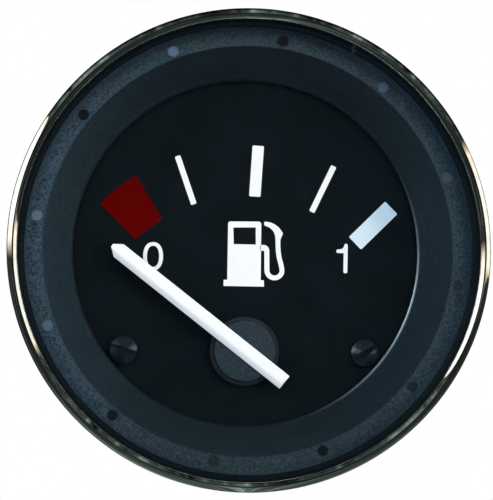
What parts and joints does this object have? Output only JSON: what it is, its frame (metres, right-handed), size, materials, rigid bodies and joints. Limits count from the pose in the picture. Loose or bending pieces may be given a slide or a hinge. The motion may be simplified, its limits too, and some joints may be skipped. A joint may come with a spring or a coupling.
{
  "type": "fuel gauge",
  "caption": "Round dashboard fuel gauge: glazed chrome bezel, dial with swinging pointer and coil movement, moulded case, clamp bracket with thumb nuts, pull-out lamp holder.",
  "frame": {"origin": "on the case's axis, in the plane of the bezel's rear face, which seats on the front of the dashboard panel", "axes": "+Z to the top of the dial, +Y out of the back of the case, +X to the right as the dial is read"},
  "size_m": [0.06, 0.0676, 0.06],
  "materials": {
    "bezel_chrome": "polished",
    "lens_glass": "gloss",
    "seal_rubber": "matte",
    "surround_plastic": "matte",
    "case_plastic": "satin",
    "dial_paint": "matte",
    "ink_white": "satin",
    "ink_pale_blue": "satin",
    "ink_red": "satin",
    "black_steel": "satin",
    "pointer_white": "satin",
    "hub_plastic": "matte",
    "frame_nylon": "satin",
    "winding_copper": "satin",
    "plated_steel": "satin",
    "ferrite": "matte",
    "board_laminate": "satin",
    "resistor_body": "satin",
    "nut_brass": "satin",
    "blade_brass": "satin",
    "holder_plastic": "satin",
    "bulb_glass": "gloss"
  },
  "bodies": {
    "case": {"bezel": "bezel_chrome", "lens": "lens_glass", "lens_seal": "seal_rubber", "dial_surround": "surround_plastic", "case": "case_plastic", "dial_plate": "dial_paint", "scale_marks": "ink_white", "full_mark": "ink_pale_blue", "reserve_mark": "ink_red", "dial_screws": "black_steel", "movement_frame": "frame_nylon", "coil_former_front": "frame_nylon", "coil_former_rear": "frame_nylon", "inner_winding": "winding_copper", "outer_winding": "winding_copper", "magnetic_shield": "plated_steel", "return_magnet": "ferrite", "frame_pillars": "nut_brass", "circuit_board": "board_laminate", "board_screws": "plated_steel", "resistors": "resistor_body", "mounting_studs": "plated_steel", "board_nuts": "plated_steel", "case_washers": "plated_steel", "case_nuts": "plated_steel", "supply_terminal": "blade_brass", "sender_terminal": "blade_brass", "ground_terminal": "blade_brass"},
    "pointer": {"needle": "pointer_white", "pointer_hub": "hub_plastic", "spindle": "plated_steel", "stop_arm": "plated_steel", "disc_magnet": "ferrite"},
    "bracket": {"mounting_bracket": "plated_steel", "left_spring_washer": "plated_steel", "right_spring_washer": "plated_steel"},
    "left_nut": {"left_thumb_nut": "nut_brass"},
    "right_nut": {"right_thumb_nut": "nut_brass"},
    "lamp": {"lamp_holder": "holder_plastic", "lamp_contacts": "blade_brass", "bulb": "bulb_glass", "bulb_filament": "plated_steel"}
  },
  "joints": [
    {"name": "pointer_sweep", "type": "hinge", "parent": "case", "child": "pointer", "pos_m": [0, 0.005, -0.0123], "axis": [0, 1, 0], "range_deg": [0, 104]},
    {"name": "bracket_slide", "type": "slide", "parent": "case", "child": "bracket", "axis": [0, 1, 0], "range_m": [-0.0045, 0]},
    {"name": "left_nut_turn", "type": "hinge", "parent": "bracket", "child": "left_nut", "pos_m": [-0.016, 0.05, 0], "axis": [0, 1, 0], "range_deg": [-2315, 0]},
    {"name": "right_nut_turn", "type": "hinge", "parent": "bracket", "child": "right_nut", "pos_m": [0.016, 0.05, 0], "axis": [0, 1, 0], "range_deg": [-2315, 0]},
    {"name": "lamp_pull", "type": "slide", "parent": "case", "child": "lamp", "axis": [0, 1, 0], "range_m": [0, 0.024]}
  ],
  "couplings": [
    {"joint": "left_nut_turn", "follows": "bracket_slide", "rad_per_m": 8976},
    {"joint": "right_nut_turn", "follows": "bracket_slide", "rad_per_m": 8976}
  ]
}
